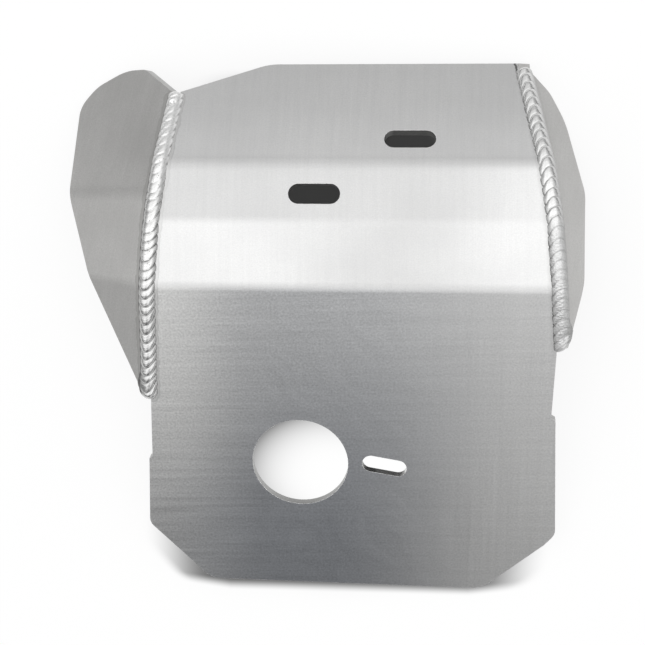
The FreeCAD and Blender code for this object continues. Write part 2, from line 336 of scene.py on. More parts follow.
# weld line's end on the belly, its crossing of each fold and its front end
def seamLine(side):
    seam = seams[side]
    faces = plateFaces()
    points = [Vector((seam["sign"] * seam["widths"][0], plate["faceLengths"][0] - seam["below"], 0))]
    for (start, normal, forward), width in zip(faces[1:], seam["widths"][1:]):
        points.append(start + Vector((seam["sign"] * width, 0, 0)))
    start, normal, forward = faces[3]
    return points + [start + forward * seam["front"] + Vector((seam["sign"] * seam["widths"][4], 0, 0))]


# the middle line of the bead, which lies a little outside the seam
def beadLine(side):
    seam = seams[side]
    return [point + Vector((seam["sign"] * outset, 0, 0))
            for point, outset in zip(seamLine(side), seam["outsets"])]


def planeNormal(first, second, third):
    normal = (second - first).cross(third - first).normalized()
    return normal if normal.z > 0 else -normal


def leaning(along, normal, sign, lean):
    outward = along.cross(normal).normalized()
    if outward.x * sign < 0:
        outward = -outward
    return outward * math.cos(math.radians(lean)) - along * math.sin(math.radians(lean))


# for each stretch of the seam, the direction half way between plate and wing
def seamNormals(side):
    seam = seams[side]
    weldEnd, lower, middle, front, end = seamLine(side)
    upper = (middle + front) / 2
    flare = math.radians(seam["flare"])
    flared = Vector((seam["sign"] * math.cos(flare), 0, -math.sin(flare)))
    rear = planeNormal(lower, weldEnd, lower + flared)
    fold = leaning((lower - weldEnd).normalized(), rear, seam["sign"], seam["leans"][0])
    centre = planeNormal(lower, upper, lower + fold)
    fold = leaning((upper - lower).normalized(), centre, seam["sign"], seam["leans"][1])
    ahead = planeNormal(upper, end, upper + fold)
    wing = [rear, centre, (centre + ahead).normalized(), ahead]
    return [(n + face[1]).normalized() for n, face in zip(wing, plateFaces())]


# mesh line of the bead's centre, with the outward direction on its points
def seamPath(side, step=0.5, smoothing=10.0, overrun=5.0):
    seam = seams[side]
    points = beadLine(side)
    lengths = [(b - a).length for a, b in zip(points, points[1:])]
    normals = seamNormals(side)

    def at(distance):
        for i, length in enumerate(lengths):
            if distance <= length or i == 3:
                return points[i] + (points[i + 1] - points[i]) * (distance / length), normals[i]
            distance -= length

    whole = sum(lengths) - seam["short"] + overrun
    count = round(whole / step)
    places, outwards = [], []
    for i in range(count + 1):
        distance = whole * i / count - overrun
        near = [at(distance + smoothing * k / 4) for k in range(-4, 5)]
        outward = sum((n for p, n in near), Vector()).normalized()
        centre = sum((p for p, n in near), Vector()) / len(near)
        centre = centre - outward * seam["sink"]
        places.append(sheetFrame @ (centre * mm))
        outwards.append(sheetFrame.to_3x3() @ outward)
    mesh = bpy.data.meshes.new(side + "WeldPath")
    mesh.from_pydata(places, [(i, i + 1) for i in range(count)], [])
    stored = mesh.attributes.new("outward", "FLOAT_VECTOR", "POINT")
    stored.data.foreach_set("vector", [v for n in outwards for v in n])
    return mesh


# What both beads' ripples share. Lengths run along the bead from its belly end; across is 0 on the
# crest, -1 at the plate and 1 at the wing.
rippleShape = {
    # where the front's slant, calm and narrow toe set in, and the belly end's calm, mark and grain
    "slantStart": (85.0, 130.0), "calmStart": (105.0, 135.0), "toeStart": (95.0, 135.0),
    "endCalm": (14.0, 5.0), "endMark": (1.3, 0.2), "grainStart": (1.0, 8.0), "frostFade": 12.0,
    # the belly end's shear: its length, and its share in the middle of the bead
    "endShear": 24.0, "shearMiddle": 0.35,
    # the arcs' straight part at the plate, how they drift along and waver across
    "straight": -0.85, "driftSize": 0.045, "drift": 4.0, "waveSize": 1.3, "wave": 0.22, "ringPace": 0.18,
    # height over one ripple: its ends, then the steep newer side and the gentle older one
    "profile": [(0.0, 0.0), (1.0, 0.0), (0.07, 0.42), (0.2, 0.88), (0.42, 1.0), (0.75, 0.76), (0.92, 0.4)],
    # its middle, the least strength and the spread of it, and what frost and crater take away
    "middleHeight": 0.6, "least": 0.65, "spread": 0.7, "frosted": -0.62, "cratered": -0.9,
    # the finer folds: their shift from one ripple to the next, and their number
    "foldShift": 0.8, "foldCount": 3.0,
    # toe and flank across the bead, the lump's length and turn, the crater's turn to its length
    "toe": (-0.45, -0.95), "flank": (0.45, 0.95), "bulgeSize": (6.5, 0.55), "craterTurn": 0.175,
    # unevenness and grain: size and height
    "unevenSize": 0.7, "uneven": 0.5, "grainSize": 0.9, "cleanGrain": 0.03, "frostGrain": 0.98,
    # angles between which the bead narrows to its root; a little over 1, so its ends stay open
    "rootFrom": 98.0, "rootTo": 135.0, "endRound": 1.0004,
}
beads = {
    "left": {
        "Radius": 5.0, "Pitch": 5.4, "Ripple": 0.52, "Travel": 1.0, "Sag": 1.25, "Middle": 0.05,
        "Slant": 0.6, "Slant End": 40.0, "Front Slant": 0.35, "Calm": 0.18, "Notch": 1.0,
        "Wander": 0.3, "Root": 2.3, "Side": -1.0, "Folds": -0.05, "Frost": 0.0, "Frost End": 40.0,
        "Bulge": 2.1, "Bulge At": 10.0, "Bulge Angle": 1.35,
        "Crater": 1.6, "Crater At": 180.5, "Crater Angle": -0.1, "Crater Size": 1.5,
        "Round": 5.0, "End Slant": 0.0, "Front Round": 2.2, "Flank": 0.25, "Seed": 3.0,
    },
    "right": {
        "Radius": 4.85, "Pitch": 5.6, "Ripple": 0.55, "Travel": -1.0, "Sag": 1.15, "Middle": -0.05,
        "Slant": 0.0, "Slant End": 30.0, "Front Slant": 0.0, "Calm": 0.0, "Notch": 0.35,
        "Wander": 0.15, "Root": 2.3, "Side": 1.0, "Folds": -0.02, "Frost": 1.0, "Frost End": 70.0,
        "Bulge": 1.6, "Bulge At": 9.5, "Bulge Angle": 1.2,
        "Crater": 1.5, "Crater At": 10.0, "Crater Angle": 0.1, "Crater Size": 3.2,
        "Round": 4.5, "End Slant": 5.0, "Front Round": 2.5, "Flank": 0.3, "Seed": 11.0,
    },
}
beadMesh = {"Spacing": 0.25, "Around": 64}


# Geometry Nodes: a rippled bead along a path whose points carry an outward direction
def beadTree():
    shape = rippleShape
    tree, given, result = newGroup("rippledBead", "GeometryNodeTree",
        {"Geometry": "Geometry", "Spacing": 0.0, "Around": "Int", "Finish": "Material",
         **{name: 0.0 for name in beads["left"]}}, {"Geometry": "Geometry"})

    path = made(tree, "GeometryNodeMeshToCurve", {"Mesh": given["Geometry"]})
    path = made(tree, "GeometryNodeResampleCurve", {"Curve": path, "Length": given["Spacing"] * mm},
                mode="LENGTH")
    keep = addNode(tree, "GeometryNodeCaptureAttribute", {"Geometry": path}, domain="POINT")
    for kind, name, source in (
            ("VECTOR", "centre", made(tree, "GeometryNodeInputPosition")),
            ("VECTOR", "tangent", made(tree, "GeometryNodeInputTangent")),
            ("VECTOR", "outward", made(tree, "GeometryNodeInputNamedAttribute", {"Name": "outward"},
                                       data_type="FLOAT_VECTOR")),
            ("FLOAT", "along", made(tree, "GeometryNodeSplineParameter", output="Length")),
            ("FLOAT", "total", made(tree, "GeometryNodeSplineLength", output="Length"))):
        keep.capture_items.new(kind, name)
        setInputs(keep, {name: source})
    kept = named(keep)
    ring = made(tree, "GeometryNodeCurvePrimitiveCircle", {"Resolution": given["Around"], "Radius": 1.0})
    turn = addNode(tree, "GeometryNodeCaptureAttribute", {"Geometry": ring}, domain="POINT")
    turn.capture_items.new("FLOAT", "turn")
    setInputs(turn, {"turn": made(tree, "GeometryNodeSplineParameter", output="Factor")})
    turned = named(turn)
    tube = made(tree, "GeometryNodeCurveToMesh", {"Curve": kept["Geometry"],
        "Profile Curve": turned["Geometry"], "Fill Caps": True})

    # angle 0 looks outwards, the plate's side is negative and the wing's side positive
    angle = (turned["turn"] - 0.5) * (2 * math.pi)
    cosine, sine = calc("COSINE", angle), calc("SINE", angle)
    along, whole = kept["along"] / mm, kept["total"] / mm
    outward, tangent = kept["outward"], kept["tangent"]
    sideways = vectorCalc("NORMALIZE", vectorCalc("CROSS_PRODUCT", tangent, outward))
    sideways = scaled(sideways, given["Side"])
    squareOut = vectorCalc("NORMALIZE", vectorCalc("CROSS_PRODUCT", sideways, tangent))
    squareOut = scaled(squareOut, given["Side"])
    ringway = joined(cosine, sine, along * shape["ringPace"] + given["Seed"])

    # ripples: arcs across the bead, each with its own height
    across = angle / (math.pi / 2)
    bow = largest(across, shape["straight"]) - given["Middle"]
    slant = ramp(along, given["Slant End"], 0.0) * given["Slant"]
    slant = ramp(along, *shape["slantStart"]) * given["Front Slant"] + slant
    arc = (bow * bow * given["Sag"] - across * slant) * (given["Travel"] * -1.0)
    drift = made(tree, "ShaderNodeTexNoise", {"W": along * shape["driftSize"] + given["Seed"],
        "Scale": 1.0, "Detail": 2.0}, noise_dimensions="1D")
    drift = (drift - 0.5) * (given["Wander"] * shape["drift"])
    wave = (noise(ringway, shape["waveSize"], 2.0) - 0.5) * shape["wave"]
    phase = along / given["Pitch"] + arc + (drift + wave)
    part = given["Travel"] * (calc("FRACT", phase) - 0.5) + 0.5
    height = curve(part, shape["profile"])
    own = made(tree, "ShaderNodeTexWhiteNoise", {"W": calc("FLOOR", phase) + given["Seed"]},
               noise_dimensions="1D")
    frost = ramp(along, given["Frost End"] + shape["frostFade"], given["Frost End"]) * given["Frost"]
    strength = given["Ripple"] * (own * shape["spread"] + shape["least"]) * (frost * shape["frosted"] + 1.0)
    calm = largest(ramp(along, *shape["calmStart"]) * given["Calm"],
                   ramp(along, *shape["endCalm"]) * given["Frost"])

    def spot(place, turned, size, spread):
        x = (along - given[place]) / size
        y = (angle - given[turned]) / spread
        return calc("EXPONENT", (x * x + y * y) * -1.0)

    size = given["Crater Size"]
    crater = spot("Crater At", "Crater Angle", size, size * shape["craterTurn"])
    strength = strength * (1.0 - calm) * (crater * shape["cratered"] + 1.0)
    lift = (height - shape["middleHeight"]) * strength
    # finer folds inside each ripple
    fold = calc("FRACT", own * shape["foldShift"] + phase * shape["foldCount"])
    fold = given["Travel"] * (fold - 0.5) + 0.5
    lift = fold * ((1.0 - frost) * given["Folds"]) + lift
    # toe against the plate: notches between the ripples, only at its rim on the front face
    ahead = ramp(along, *shape["toeStart"]) * given["Front Slant"]
    lift = lift - (1.0 - height) ** 2.0 * ramp(across + ahead, *shape["toe"]) * given["Notch"]
    # fuller flank over the wing's edge, lump beside the belly end, crater, uneven flanks and grain
    lift = ramp(across, *shape["flank"]) * given["Flank"] + lift
    lift = lift + spot("Bulge At", "Bulge Angle", *shape["bulgeSize"]) * given["Bulge"]
    lift = lift - crater * given["Crater"]
    lift = (noise(ringway, shape["unevenSize"], 1.0) - 0.5) * shape["uneven"] + lift
    place = vectorCalc("DIVIDE", kept["centre"], (mm, mm, mm))
    grain = noise(vectorCalc("ADD", place, scaled(ringway, given["Radius"])), shape["grainSize"], 3.0, 0.65)
    rough = frost * ramp(along, *shape["grainStart"]) * shape["frostGrain"] + shape["cleanGrain"]
    lift = (grain - 0.5) * rough + lift

    # the root stays inside the joint, and both ends close
    root = ramp(abs(angle), math.radians(shape["rootFrom"]), math.radians(shape["rootTo"]))
    radius = (given["Radius"] + lift) * (1.0 - root) + given["Root"] * root

    def closing(distance, length):
        near = clamped(1.0 - distance / length)
        return calc("SQRT", shape["endRound"] - near * near)

    radius = radius * closing(along, given["Round"]) * closing(whole - along, given["Front Round"]) ** 0.5
    radius = radius * mm
    offset = vectorCalc("ADD", scaled(squareOut, radius * cosine), scaled(sideways, radius * sine))
    # the wing's side of the belly end stops earlier
    aside = radius * sine / (given["Radius"] * mm)
    shear = (aside * 0.5 + shape["shearMiddle"]) * ramp(along, shape["endShear"], 0.0)
    shear = shear * given["End Slant"] * mm
    offset = vectorCalc("ADD", offset, scaled(vectorCalc("NORMALIZE", tangent), shear))
    body = made(tree, "GeometryNodeSetPosition", {"Geometry": tube,
        "Position": vectorCalc("ADD", kept["centre"], offset)})
    for name, value in (("valley", 1.0 - height), ("end", ramp(along, *shape["endMark"])), ("frost", frost),
                        ("side", across), ("fold", fold)):
        body = made(tree, "GeometryNodeStoreNamedAttribute", {"Geometry": body, "Name": name,
            "Value": value}, data_type="FLOAT", domain="POINT")
    body = made(tree, "GeometryNodeSetShadeSmooth", {"Geometry": body})
    body = made(tree, "GeometryNodeRealizeInstances", {"Geometry": body})
    body = made(tree, "GeometryNodeSetMaterial", {"Geometry": body, "Material": given["Finish"]})
    setInputs(result, {"Geometry": body})
    return tree


# finishes
def newFinish(name):
    material = bpy.data.materials.new(name)
    material.use_nodes = True
    shader = material.node_tree.nodes["Principled BSDF"]
    shader.inputs["Metallic"].default_value = 1.0
    back = sheetFrame.inverted()
    found = made(material.node_tree, "ShaderNodeTexCoord", output="Object")
    place = made(found.tree, "ShaderNodeMapping", {"Vector": found, "Location": back.translation / mm,
        "Rotation": back.to_euler(), "Scale": (1 / mm, 1 / mm, 1 / mm)}, vector_type="POINT")
    return material, shader, place


def finished(shader, colour, rough, height, strength, depth):
    bump = made(shader.id_data, "ShaderNodeBump", {"Height": height, "Strength": strength,
                                                   "Distance": depth})
    setInputs(shader, {"Base Color": colour, "Roughness": rough, "Normal": bump})


def scratched(place, turn, width, length):
    return useGroup(brushing, {"Place": place, "Turn": math.radians(turn), "Width": width,
                               "Length": length})["Scratches"]


# bounds are places along X or Y, in pairs from nothing to full, with two more values where the
# effect doesn't run from 0 to 1
brushedPlate = {
    "dark": (0.57, 0.57, 0.57, 1), "light": (0.73, 0.73, 0.725, 1), "heated": (0.55, 0.55, 0.545, 1),
    # the shadowed colour is painted shade for the belly's middle, and the colour after it a painted
    # reflection for the belly's sides
    "shadowed": (0.392, 0.408, 0.437, 1), "paintedSheen": (0.80, 0.80, 0.79, 1), "burnt": (0.07, 0.07, 0.07, 1),
    "roughness": 0.33, "anisotropy": 0.35, "bump": 0.10, "bumpDepth": 0.00002,
    # shares of grain and scratches in the tone, of rim and strip in the warmth, and of the level
    # scratches and the grain in the coarse grain
    "toneShares": (0.62, 0.38), "warmShares": (0.6, 0.5), "coarseShares": (0.35, 0.65),
    "cloudAt": (0.35, 0.7, 0.0, 0.25), "burn": 0.85, "grainHeight": 0.5,
    # what scratches, clouds, warmth and the level scratches add to the roughness
    "roughScratches": 0.07, "roughClouds": 0.06, "roughWarm": 0.10, "roughLevel": 0.03,
    # scratches: turn, width and length of the upright, level and swirled ones, and how far these bend
    "upright": (0.0, 0.5, 60.0), "level": (88.0, 0.45, 45.0), "swirl": (-40.0, 0.6, 26.0),
    "swirlBend": 60.0, "belly": (199.0, 193.0), "levelAt": (-45.0, -95.0), "rightAt": (10.0, 85.0),
    "cloudSize": 0.022,
    # the belly's painted shade in its middle: how it shifts to the left, its width, and its depth towards
    # the rear; after these, where a painted reflection makes its sides paler
    "darkShift": (150.0, 20.0, 13.0, 30.0), "darkWidth": (115.0, 12.0),
    "darkRear": (190.0, 30.0, 0.35, 0.94), "paleLeft": (-60.0, -115.0), "paleLeftFront": (20.0, 150.0),
    "paleRight": (45.0, 115.0), "paleRightRear": (170.0, 70.0, 0.0, 0.33),
    "coarseSize": 1.25, "coarseAt": (80.0, -20.0, 0.35, 0.62),
    # the bent faces: painted shade and painted reflection as gains on their colour
    "lowerFace": ((196.0, 200.0), (236.0, 230.0)), "lowerMiddle": 22.0, "lowerWidth": (85.0, 0.0),
    "lowerGain": -0.16, "middleFace": ((230.0, 236.0), (264.0, 258.0)),
    "middleGain": (40.0, 125.0, -0.06, 0.16), "frontFace": ((262.0, 266.0), (290.0, 266.0)),
    "frontGain": 0.09,
}


def plateFinish():
    use = brushedPlate
    material, shader, place = newFinish("brushedPlate")
    sheet = parts(place)
    flat = joined(sheet["X"], sheet["Y"] - sheet["Z"], sheet["Z"])
    cloud = noise(flat, use["cloudSize"], 2.0)
    # the swirl in the middle of the belly: scratches that turn as they go
    bend = use["swirlBend"]
    bent = vectorCalc("MULTIPLY", nodeValue(cloud.socket.node.outputs[1]), (bend, bend, 0.0))
    upright, level = scratched(flat, *use["upright"]), scratched(flat, *use["level"])
    swirl = scratched(vectorCalc("ADD", flat, bent), *use["swirl"])
    onBelly = ramp(sheet["Y"], *use["belly"])
    atLeft = ramp(sheet["X"], *use["levelAt"]) * onBelly
    atRight = ramp(sheet["X"], *use["rightAt"]) * onBelly
    atMiddle = clamped(onBelly - (atLeft + atRight))
    scratches = mix(atLeft, mix(atMiddle, upright, swirl), level)
    grain = useGroup(grained, {"Place": flat})["Grain"]
    seam = useGroup(heat, {"Place": place})
    warmth = clamped(weighed(use["warmShares"], seam["Rim"], seam["Heat"]))
    colour = mixColour(weighed(use["toneShares"], grain, scratches), use["dark"], use["light"])
    colour = mixColour(ramp(cloud, *use["cloudAt"]), colour, use["dark"])
    # the belly: painted shade, darker in its middle and towards the rear, and painted reflection, paler at
    # both sides, with a coarser grain
    inner = abs(sheet["X"] + ramp(sheet["Y"], *use["darkShift"]))
    inner = ramp(inner, *use["darkWidth"]) * ramp(sheet["Y"], *use["darkRear"])
    colour = mixColour(onBelly * inner, colour, use["shadowed"])
    outer = largest(ramp(sheet["X"], *use["paleLeft"]) * ramp(sheet["Y"], *use["paleLeftFront"]),
                    ramp(sheet["X"], *use["paleRight"]) * ramp(sheet["Y"], *use["paleRightRear"]))
    colour = mixColour(onBelly * outer, colour, use["paintedSheen"])
    coarse = useGroup(grained, {"Place": flat, "Size": use["coarseSize"]})["Grain"]
    coarse = (weighed(use["coarseShares"], level, coarse) - 0.5) * ramp(sheet["X"], *use["coarseAt"])
    gain = coarse * onBelly + 1.0
    # the lower bent face: painted shade, darker in its middle; the middle one: painted shade and
    # reflection, paler at the right
    across = abs(sheet["X"] - use["lowerMiddle"])
    paintedDimming = between(sheet["Y"], *use["lowerFace"]) * use["lowerGain"] * ramp(across, *use["lowerWidth"])
    paler = between(sheet["Y"], *use["middleFace"]) * ramp(sheet["X"], *use["middleGain"])
    gain = gain + (paintedDimming + paler)
    # the front face: painted reflection, a little paler towards its fold
    gain = between(sheet["Y"], *use["frontFace"]) * use["frontGain"] + gain
    colour = mixColour(warmth, scaled(colour, gain), use["heated"])
    colour = mixColour(largest(seam["Toe"], seam["Crack"]) * use["burn"], colour, use["burnt"])
    rough = (scratches - 0.5) * use["roughScratches"] + (cloud - 0.5) * use["roughClouds"]
    rough = rough + warmth * use["roughWarm"] + (atLeft + atRight) * use["roughLevel"]
    finished(shader, colour, rough + use["roughness"], grain * use["grainHeight"] + scratches, use["bump"],
             use["bumpDepth"])
    tangent = made(place.tree, "ShaderNodeTangent", direction_type="UV_MAP", uv_map="sheet")
    setInputs(shader, {"Anisotropic": use["anisotropy"], "Tangent": tangent})
    return material


satinWing = {
    "dark": (0.49, 0.485, 0.475, 1), "light": (0.69, 0.685, 0.675, 1), "heated": (0.40, 0.395, 0.385, 1),
    "burnt": (0.12, 0.12, 0.115, 1), "roughness": 0.42, "bump": 0.12, "bumpDepth": 0.00003,
    "scratches": (12.0, 0.8, 30.0), "cloudSize": 0.03, "frontGain": (238.0, 272.0, 0.95, 0.85),
    "marks": {"Toe": 4.2, "Reach": 6.8, "Soft": 0.6, "Right": 0.1},
    "toneShares": (0.7, 0.3), "warmShares": (0.4, 0.6), "cloudAt": (0.3, 0.7, 0.0, 0.3), "burn": 0.75,
    "roughGrain": 0.08, "roughWarm": 0.08,
}


def wingFinish():
    use = satinWing
    material, shader, place = newFinish("satinWing")
    grain = useGroup(grained, {"Place": place})["Grain"]
    seam = useGroup(heat, {"Place": place, **use["marks"]})
    warmth = clamped(weighed(use["warmShares"], seam["Rim"], seam["Heat"]))
    tone = weighed(use["toneShares"], grain, scratched(place, *use["scratches"]))
    colour = mixColour(tone, use["dark"], use["light"])
    cloud = noise(place, use["cloudSize"], 2.0)
    colour = mixColour(ramp(cloud, *use["cloudAt"]), colour, use["dark"])
    # painted shade: darker towards the front
    colour = scaled(colour, ramp(parts(place)["Y"], *use["frontGain"]))
    colour = mixColour(warmth, colour, use["heated"])
    colour = mixColour(seam["Toe"] * use["burn"], colour, use["burnt"])
    rough = warmth * use["roughWarm"] + (grain - 0.5) * use["roughGrain"]
    finished(shader, colour, rough + use["roughness"], tone, use["bump"], use["bumpDepth"])
    return material


cutEdge = {
    "dark": (0.34, 0.34, 0.335, 1), "light": (0.56, 0.56, 0.55, 1), "roughness": 0.42,
    "bump": 0.25, "bumpDepth": 0.00006, "grooves": (0.0, 0.7, 0.9), "lineStretch": (1.0, 1.0, 0.12),
    "lineSize": 1.6, "toneShares": (0.4, 0.6), "roughTone": 0.12,
    # the short slot's wall: painted light, paler than the other cut walls
    "slot": (0.82, 0.82, 0.81, 1), "slotX": ((12.0, 15.0), (55.0, 50.0)),
    "slotY": ((40.0, 45.0), (160.0, 155.0)),
}


def edgeFinish():
    use = cutEdge
    material, shader, place = newFinish("cutEdge")
    lines = noise(vectorCalc("MULTIPLY", place, use["lineStretch"]), use["lineSize"], 2.0)
    tone = weighed(use["toneShares"], scratched(place, *use["grooves"]), lines)
    colour = mixColour(tone, use["dark"], use["light"])
    sheet = parts(place)
    atSlot = between(sheet["X"], *use["slotX"]) * between(sheet["Y"], *use["slotY"])
    # painted light on the short slot's wall
    colour = mixColour(atSlot, colour, use["slot"])
    rough = (tone - 0.5) * use["roughTone"] + use["roughness"]
    finished(shader, colour, rough, lines, use["bump"], use["bumpDepth"])
    return material


deburred = {
    "dull": (0.55, 0.55, 0.55, 1), "bright": (0.97, 0.97, 0.97, 1), "brightAt": (0.38, 0.56),
    "bump": 0.3, "bumpDepth": 0.0001, "wornSize": 0.55, "roughness": (0.3, 0.6, 0.87, 0.72),
}


def rimFinish():
    use = deburred
    material, shader, place = newFinish("deburredRim")
    worn = noise(place, use["wornSize"], 3.0, 0.7)
    colour = mixColour(ramp(worn, *use["brightAt"]), use["dull"], use["bright"])
    finished(shader, colour, ramp(worn, *use["roughness"]), worn, use["bump"], use["bumpDepth"])
    return material


weldMetal = {
    "clean": (0.76, 0.76, 0.755, 1), "dull": (0.50, 0.50, 0.495, 1), "sootAndShade": (0.07, 0.069, 0.067, 1),
    "frosted": (0.80, 0.80, 0.80, 1), "bright": (0.93, 0.93, 0.925, 1),
    "roughness": 0.24, "frostRoughness": 0.44, "frontRoughness": 0.13, "bumpDepth": 0.00015,
    "grainSize": 1.7, "patchSize": 0.35, "pitSize": 0.6, "pitsAt": ((195.0, 225.0), (285.0, 265.0)),
    # where the creases get cleaner, the left bead brighter, and its dark line lies further out
    "cleaner": (225.0, 262.0), "brighter": (240.0, 268.0), "rimShift": (252.0, 272.0, 0.0, 0.24),
    # across the bead: the toe's creases, the dark line, the flank with painted shade and the half towards
    # the wing, which is darker
    "toe": (-0.35, -0.8), "line": (-0.86, -1.04), "flank": (0.38, 0.64), "wingSideDarkening": (0.0, 0.5, 0.0, 0.9),
    # the toe's shift and the soot in all creases, from the belly to the front
    "toeShift": (0.0, 0.34), "creaseSoot": (0.36, 0.14), "frontDull": (1.0, 0.4),
    # rise and start: over the toe, the crease's power; from the right bead to the left, the toe's soot and
    # the flank's painted shade
    "creasePower": (-1.4, 2.6), "toeSoot": (0.75, 0.25), "flankShade": (0.65, 0.2), "endSoot": 0.8,
    "leftSide": (20.0, -20.0), "sootGrain": (0.3, 0.6, 0.7, 1.0), "linePatches": (0.42, 0.56, 0.1, 0.85),
    "pitEdge": (0.16, 0.09), "pitPatches": (0.62, 0.75), "foldDull": 0.3,
    "grainDull": (0.35, 0.65, 0.0, 0.35), "roughSoot": 0.25, "roughGrain": (0.12, -0.05),
    "bump": (0.8, 0.15),
}


def weldFinish():
    use = weldMetal
    material, shader, place = newFinish("weldMetal")
    valley, end, frost, side, fold = (
        made(place.tree, "ShaderNodeAttribute", output="Fac", attribute_name=name)
        for name in ("valley", "end", "frost", "side", "fold"))
    sheet = parts(place)
    atLeft = ramp(sheet["X"], *use["leftSide"])
    grain = noise(place, use["grainSize"], 4.0, 0.72)
    patches = noise(place, use["patchSize"], 2.0)
    # oxide in the creases, thickest at the plate's toe, and most of it on the left bead
    toes = ramp(side + ramp(sheet["Y"], *use["cleaner"], *use["toeShift"]) * atLeft, *use["toe"])
    crease = valley ** sloped(toes, *use["creasePower"])
    sootAndShade = toes * sloped(atLeft, *use["toeSoot"]) + ramp(sheet["Y"], *use["cleaner"], *use["creaseSoot"])
    sootAndShade = clamped(crease * sootAndShade) * ramp(grain, *use["sootGrain"])
    line = ramp(side + ramp(sheet["Y"], *use["rimShift"]) * atLeft, *use["line"])
    sootAndShade = clamped(line * ramp(patches, *use["linePatches"]) + sootAndShade)
    # painted shade on the bead's flank towards the wing, strongest on the left bead, drawn with the soot
    # colour
    flank = ramp(side, *use["flank"]) * sloped(atLeft, *use["flankShade"])
    sootAndShade = largest(sootAndShade, largest(flank, end * use["endSoot"]))
    # small pits, most of them above the folds on the left
    pits = made(place.tree, "ShaderNodeTexVoronoi", {"Vector": place, "Scale": use["pitSize"],
        "Randomness": 1.0}, "Distance", feature="F1")
    pitted = between(sheet["Y"], *use["pitsAt"]) * atLeft + patches
    pits = ramp(pits, *use["pitEdge"]) * ramp(pitted, *use["pitPatches"])
    bright = ramp(sheet["Y"], *use["brighter"]) * atLeft
    colour = mixColour(bright, mixColour(frost, use["clean"], use["frosted"]), use["bright"])
    dulled = fold * use["foldDull"] + ramp(grain, *use["grainDull"])
    dulled = dulled * ramp(sheet["Y"], *use["cleaner"], *use["frontDull"])
    # the half of the bead towards the wing is darker
    dulled = clamped(ramp(side, *use["wingSideDarkening"]) + dulled)
    colour = mixColour(dulled, colour, use["dull"])
    colour = mixColour(largest(sootAndShade, pits), colour, use["sootAndShade"])
    rough = bright * use["frontRoughness"] + mix(frost, use["roughness"], use["frostRoughness"])
    rough = sootAndShade * use["roughSoot"] + sloped(grain, *use["roughGrain"]) + rough
    finished(shader, colour, rough, grain, sloped(frost, *use["bump"]), use["bumpDepth"])
    return material


# trims a copied sheet along the long cut at the rear right corner
def trimCorner(body):
    middle = Vector((*plate["cutMiddle"], 0))
    for angle in plate["cutAngles"]:
        out = Vector((math.cos(math.radians(angle)), math.sin(math.radians(angle)), 0))
        cut = bmesh.ops.bisect_plane(body, geom=body.verts[:] + body.edges[:] + body.faces[:],
            plane_co=sheetFrame @ ((middle + out * plate["cutRadius"]) * mm),
            plane_no=sheetFrame.to_3x3() @ out, clear_outer=True)["geom_cut"]
        edges = [part for part in cut if isinstance(part, bmesh.types.BMEdge)]
        if edges:
            bmesh.ops.contextual_create(body, geom=edges)
    bmesh.ops.recalc_face_normals(body, faces=body.faces)


# sheets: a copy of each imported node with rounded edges; faces that lean away from the broad ones
# are cut edges
def sheetSkin(name, node, finish, broadCount=12, leastFacing=0.85):
    body = bmesh.new()
    body.from_mesh(frame["nodes"][node].data)
    bmesh.ops.remove_doubles(body, verts=body.verts, dist=0.000001)
    bmesh.ops.dissolve_limit(body, angle_limit=math.radians(plate["flatEdge"]), verts=body.verts,
                             edges=body.edges)
    if node == "main_plate":
        trimCorner(body)
    areas = [(face.calc_area(), face.normal.copy()) for face in body.faces]
    broad = [normal for area, normal in sorted(areas, key=lambda a: -a[0])[:broadCount]]
    back = sheetFrame.inverted()
    layer = body.loops.layers.uv.new("sheet")
    for face in body.faces:
        face.smooth = True
        face.material_index = max(abs(face.normal.dot(normal)) for normal in broad) < leastFacing
        for loop in face.loops:
            x, y, z = (back @ loop.vert.co) / mm
            loop[layer].uv = (x / 100, (y - z) / 100)
    # the openings' edges are rounded in full, the outline's less
    weights = body.edges.layers.float.new("bevel_weight_edge")
    for edge in body.edges:
        if edge.calc_face_angle(0.0) > math.radians(plate["sharpEdge"]):
            x, y, z = (back @ ((edge.verts[0].co + edge.verts[1].co) / 2)) / mm
            opening = (node == "main_plate" and abs(x) < plate["openHalfWidth"]
                       and plate["openRear"] < y < plate["openFront"])
            edge[weights] = 1.0 if opening else plate["outlineShare"]
    mesh = bpy.data.meshes.new(name)
    body.to_mesh(mesh)
    body.free()
    for metal in (finish, edgeMetal, rimMetal):
        mesh.materials.append(metal)
    piece = newObject(name, mesh)
    bevel = piece.modifiers.new("edges", "BEVEL")
    bevel.width = plate["edgeRound"] * mm
    bevel.segments = 2
    bevel.limit_method = "WEIGHT"
    bevel.harden_normals = True
    bevel.material = 2 if node == "main_plate" else 0
    piece.modifiers.new("flat faces", "WEIGHTED_NORMAL").keep_sharp = True
    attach(piece, "root")
    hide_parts(node)


def weldBead(side, tree, finish):
    name = side + "Weld"
    holder = newObject(name + "Path", seamPath(side))
    grow = holder.modifiers.new("ripples", "NODES")
    grow.node_group = tree
    sockets = {item.name: item.identifier for item in tree.interface.items_tree if item.in_out == "INPUT"}
    for label, value in {**beadMesh, **beads[side], "Finish": finish}.items():
        grow[sockets[label]] = value
    bpy.context.view_layer.update()
    grown = holder.evaluated_get(bpy.context.evaluated_depsgraph_get())
    mesh = bpy.data.meshes.new_from_object(grown)
    mesh.name = name
    bpy.data.objects.remove(holder)
    piece = newObject(name, mesh)
    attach(piece, "root")
    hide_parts(side + "_weld_bead")
    print(side, "weld made,", len(mesh.polygons), "faces")


brushing = brushingGroup()
grained = grainGroup()
heat = heatGroup()
plateMetal, wingMetal, beadMetal = plateFinish(), wingFinish(), weldFinish()
edgeMetal, rimMetal = edgeFinish(), rimFinish()
print("finishes made")

sheetSkin("foldedPlate", "main_plate", plateMetal)
sheetSkin("leftWing", "left_wing", wingMetal)
sheetSkin("rightWing", "right_wing", wingMetal)
print("sheets made")

ripples = beadTree()
for side in ("left", "right"):
    weldBead(side, ripples, beadMetal)


